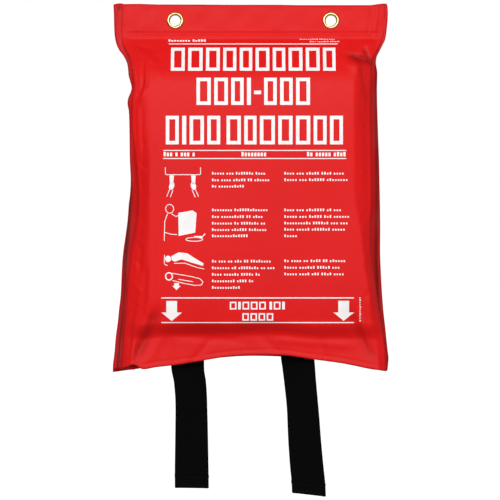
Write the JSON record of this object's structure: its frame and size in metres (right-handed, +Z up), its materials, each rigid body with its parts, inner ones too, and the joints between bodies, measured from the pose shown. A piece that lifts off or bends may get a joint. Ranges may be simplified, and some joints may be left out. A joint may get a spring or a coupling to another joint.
{
  "type": "fire blanket",
  "caption": "Folded fire blanket in a soft red wall pouch with brass hanging eyelets; it slides out of the open bottom when its black pull tapes are drawn down.",
  "frame": {"origin": "midway between the two eyelets' centres, in the wall plane that the eyelets' rear rims touch", "axes": "+X to the right along the header as seen from the front, +Y into the wall, +Z up; the printed front faces -Y"},
  "size_m": [0.248, 0.031, 0.4415],
  "materials": {
    "coated_fabric": "satin",
    "print_ink": "satin",
    "brass": "polished",
    "glass_cloth": "satin",
    "white_thread": "matte",
    "webbing": "matte",
    "black_thread": "satin"
  },
  "bodies": {
    "pouch": {"front_panel": "coated_fabric", "back_panel": "coated_fabric", "left_gusset": "coated_fabric", "right_gusset": "coated_fabric", "header_strip": "coated_fabric", "left_eyelet_grommet": "brass", "right_eyelet_grommet": "brass", "left_eyelet_washer": "brass", "right_eyelet_washer": "brass"},
    "blanket": {"folded_blanket": "glass_cloth", "hem_stitching": "white_thread", "left_tape_top": "webbing", "right_tape_top": "webbing", "left_tape_stitching": "black_thread", "right_tape_stitching": "black_thread"},
    "left_tape": {"left_pull_tape": "webbing", "left_end_stitching": "black_thread"},
    "right_tape": {"right_pull_tape": "webbing", "right_end_stitching": "black_thread"}
  },
  "joints": [
    {"name": "blanket_slide", "type": "slide", "parent": "pouch", "child": "blanket", "axis": [0, 0, -1], "range_m": [0, 0.3]},
    {"name": "left_tape_swing", "type": "hinge", "parent": "blanket", "child": "left_tape", "pos_m": [-0.0585, -0.009, -0.318], "axis": [-1, 0, 0], "range_deg": [-3, 90]},
    {"name": "right_tape_swing", "type": "hinge", "parent": "blanket", "child": "right_tape", "pos_m": [0.0405, -0.009, -0.318], "axis": [-1, 0, 0], "range_deg": [-3, 90]}
  ]
}
